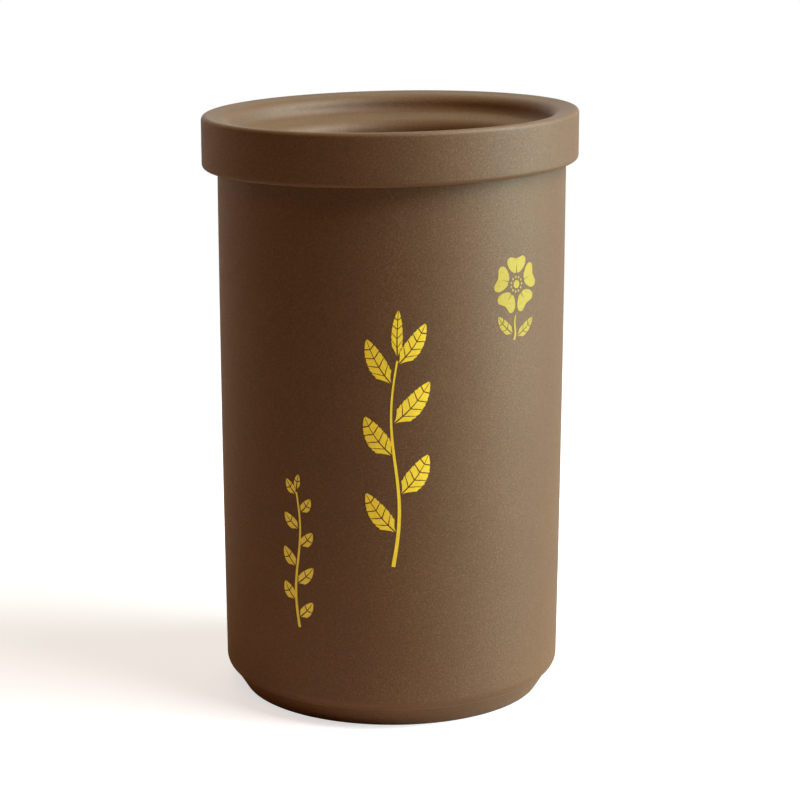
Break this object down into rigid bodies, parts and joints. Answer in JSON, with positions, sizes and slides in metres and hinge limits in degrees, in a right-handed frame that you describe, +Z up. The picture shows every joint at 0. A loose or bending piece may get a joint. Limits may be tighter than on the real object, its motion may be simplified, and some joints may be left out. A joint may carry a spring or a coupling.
{
  "type": "tea canister",
  "caption": "Straight matte brown stoneware tea canister on a foot ring, with a lift-off cap lid whose sunken, stepped top takes the foot of another, sealed by a silicone ring.",
  "frame": {"origin": "on the canister's axis, in the plane of the foot ring that it stands on", "axes": "+Z up along the axis of the jar; -Y towards the viewer of the picture; +X to the right"},
  "size_m": [0.1, 0.1, 0.1572],
  "materials": {
    "jar_clay": "matte unglazed, fine grain",
    "lid_clay": "matte unglazed, fine grain",
    "silicone": "satin, slightly translucent",
    "gold_print": "satin gold, thin fired print"
  },
  "bodies": {
    "jar": {"jar_body": "jar_clay"},
    "seal": {"seal_ring": "silicone"},
    "lid": {"lid": "lid_clay"}
  },
  "joints": [
    {"name": "lid_lift", "type": "slide", "parent": "jar", "child": "seal", "axis": [0, 0, 1], "range_m": [0, 0.1]},
    {"name": "lid_turn", "type": "hinge", "parent": "seal", "child": "lid", "pos_m": [0, 0, 0.15], "axis": [0, 0, 1], "continuous": true}
  ]
}
